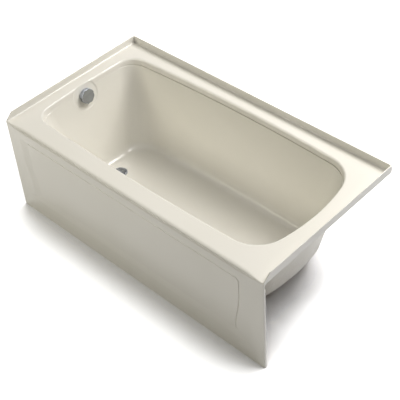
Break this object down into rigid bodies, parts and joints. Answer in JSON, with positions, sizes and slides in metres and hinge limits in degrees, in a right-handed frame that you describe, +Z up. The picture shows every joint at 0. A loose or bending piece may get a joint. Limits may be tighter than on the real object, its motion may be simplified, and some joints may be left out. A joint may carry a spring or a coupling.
{
  "type": "alcove bathtub",
  "caption": "Oblong alcove bathtub with an apron front, a tile flange on three sides, a sloping back rest and a cable-worked overflow dial and drain stopper.",
  "frame": {"origin": "middle of the bath's footprint, on the floor it stands on", "axes": "+X along the bath from the drain end to the back rest, -Y out of the apron front, +Z up"},
  "size_m": [1.524, 0.8128, 0.543],
  "materials": {
    "acrylic": "glossy almond acrylic",
    "laminate": "sprayed glass fibre laminate, matt off-white",
    "timber": "sawn softwood, bare",
    "plywood": "plywood, resin coated",
    "pipe": "white plastic pipe, satin",
    "rubber": "black rubber, matt",
    "chrome": "polished chrome plate",
    "steel": "bright stainless steel",
    "brass": "machined brass",
    "cable_jacket": "black plastic jacket"
  },
  "bodies": {
    "bath": {"bath_shell": "acrylic", "glass_backing": "laminate", "apron": "acrylic", "apron_bottom_rail": "timber", "apron_top_rail": "timber", "apron_post_1": "timber", "apron_post_2": "timber", "apron_post_3": "timber", "apron_post_4": "timber", "floor_board": "plywood", "floor_runner_front": "timber", "floor_runner_back": "timber", "overflow_gasket": "rubber", "overflow_head": "pipe", "overflow_plate": "chrome", "overflow_screws": "steel", "drum_cap": "pipe", "slip_nuts": "pipe", "slip_washers": "rubber", "overflow_tube": "pipe", "shoe_arm": "pipe", "outlet_tube": "pipe", "waste_tee": "pipe", "drain_shoe": "pipe", "drain_gasket": "rubber", "drain_flange": "chrome", "cable_casing": "cable_jacket", "cable_wire": "steel", "cable_clips": "pipe"},
    "dial": {"overflow_dial": "chrome", "dial_set_screw": "steel", "dial_spindle": "brass"},
    "plunger": {"cable_plunger": "steel"},
    "lever": {"lift_lever": "brass"},
    "stopper": {"drain_stopper": "chrome", "stopper_seal": "rubber"}
  },
  "joints": [
    {"name": "dial_turn", "type": "hinge", "parent": "bath", "child": "dial", "pos_m": [-0.68501, 0, 0.451], "axis": [0.9781, 0, 0.2079], "range_deg": [0, 90]},
    {"name": "plunger_slide", "type": "slide", "parent": "bath", "child": "plunger", "axis": [1, 0, 0], "range_m": [0, 0.0079]},
    {"name": "lever_tilt", "type": "hinge", "parent": "bath", "child": "lever", "pos_m": [-0.534, 0, 0.034], "axis": [0, -1, 0], "range_deg": [0, 24.69]},
    {"name": "stopper_lift", "type": "slide", "parent": "bath", "child": "stopper", "axis": [0, 0, 1], "range_m": [0, 0.0101]}
  ],
  "couplings": [
    {"joint": "plunger_slide", "follows": "dial_turn", "m_per_rad": 0.005},
    {"joint": "lever_tilt", "follows": "dial_turn", "ratio": 0.27322},
    {"joint": "stopper_lift", "follows": "dial_turn", "m_per_rad": 0.0063662}
  ]
}
